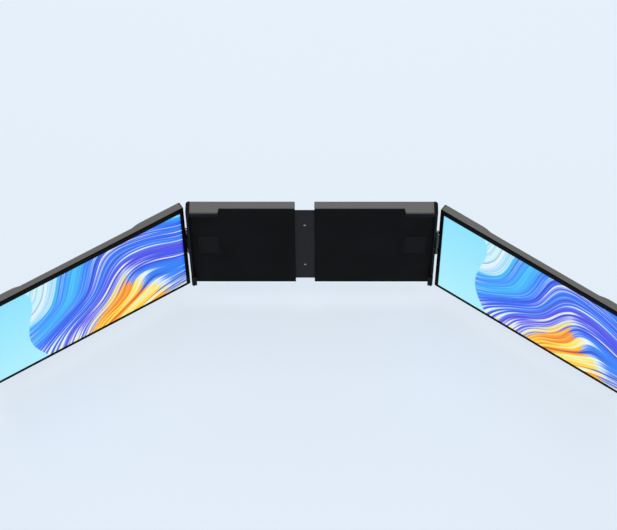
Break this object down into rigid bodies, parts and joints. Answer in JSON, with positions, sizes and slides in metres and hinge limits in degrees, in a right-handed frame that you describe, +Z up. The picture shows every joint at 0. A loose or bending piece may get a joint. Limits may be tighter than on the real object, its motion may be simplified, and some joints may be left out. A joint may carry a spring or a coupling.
{
  "type": "laptop screen extender",
  "caption": "Portable laptop screen extender: side monitors on vertical friction hinges, carried by a telescoping bracket that hooks over a laptop lid.",
  "frame": {"origin": "middle of the lid slot, on the seat where the laptop lid's top edge rests, halfway through the slot's depth", "axes": "+X to the right seen from the front, +Y to the back, +Z up along the lid"},
  "size_m": [0.8068, 0.1779, 0.1909],
  "materials": {
    "grey_shell": "satin",
    "black_plastic": "matte",
    "rubber": "matte",
    "nylon": "matte",
    "lit_glass": "gloss",
    "panel_back": "satin",
    "board": "satin",
    "black_steel": "satin",
    "dark_plate": "satin",
    "steel": "satin"
  },
  "bodies": {
    "centre": {"centre_plate": "dark_plate", "rail_rivets": "steel", "slide_rail_lower": "steel", "slide_rail_upper": "steel"},
    "left_screen": {"left_screen_case": "grey_shell", "left_bezel": "black_plastic", "left_display_glass": "lit_glass", "left_lcd_panel": "panel_back", "left_driver_board": "board", "left_usb_c_sockets": "steel", "left_mini_hdmi_socket": "steel", "left_speakers": "black_plastic", "left_hinge_screen_leaf": "black_steel"},
    "left_power_button": {"left_power_button": "black_plastic"},
    "left_menu_button": {"left_menu_button": "black_plastic"},
    "left_half": {"left_back_cover": "grey_shell", "left_channel_lower": "steel", "left_channel_upper": "steel", "left_cover_screws": "steel", "left_end_frame": "black_plastic", "left_front_plate": "black_plastic", "left_glides": "nylon", "left_grip_pads": "rubber", "left_hinge_fixed_leaf": "black_steel", "left_hinge_pin": "black_steel", "left_hook": "black_plastic"},
    "right_screen": {"right_screen_case": "grey_shell", "right_bezel": "black_plastic", "right_display_glass": "lit_glass", "right_lcd_panel": "panel_back", "right_driver_board": "board", "right_usb_c_sockets": "steel", "right_mini_hdmi_socket": "steel", "right_speakers": "black_plastic", "right_hinge_screen_leaf": "black_steel"},
    "right_power_button": {"right_power_button": "black_plastic"},
    "right_menu_button": {"right_menu_button": "black_plastic"},
    "right_half": {"right_back_cover": "grey_shell", "right_channel_lower": "steel", "right_channel_upper": "steel", "right_cover_screws": "steel", "right_end_frame": "black_plastic", "right_front_plate": "black_plastic", "right_glides": "nylon", "right_grip_pads": "rubber", "right_hinge_fixed_leaf": "black_steel", "right_hinge_pin": "black_steel", "right_hook": "black_plastic"}
  },
  "joints": [
    {"name": "left_slide", "type": "slide", "parent": "centre", "child": "left_half", "axis": [-1, 0, 0], "range_m": [-0.012, 0.045]},
    {"name": "right_slide", "type": "slide", "parent": "centre", "child": "right_half", "axis": [1, 0, 0], "range_m": [-0.012, 0.045]},
    {"name": "left_hinge", "type": "hinge", "parent": "left_half", "child": "left_screen", "pos_m": [-0.1587, 0.01545, -0.091], "axis": [0, 0, 1], "range_deg": [-211.8, 18.2]},
    {"name": "right_hinge", "type": "hinge", "parent": "right_half", "child": "right_screen", "pos_m": [0.1569, -0.0006, -0.07], "axis": [0, 0, 1], "range_deg": [-145.1, 34.9]},
    {"name": "left_power_press", "type": "slide", "parent": "left_screen", "child": "left_power_button", "axis": [0.8499, 0.527, 0], "range_m": [0, 0.0004], "stiffness_N_per_m": 400},
    {"name": "left_menu_press", "type": "slide", "parent": "left_screen", "child": "left_menu_button", "axis": [0.8499, 0.527, 0], "range_m": [0, 0.0004], "stiffness_N_per_m": 400},
    {"name": "right_power_press", "type": "slide", "parent": "right_screen", "child": "right_power_button", "axis": [-0.8202, 0.5721, 0], "range_m": [0, 0.0004], "stiffness_N_per_m": 400},
    {"name": "right_menu_press", "type": "slide", "parent": "right_screen", "child": "right_menu_button", "axis": [-0.8202, 0.5721, 0], "range_m": [0, 0.0004], "stiffness_N_per_m": 400}
  ]
}
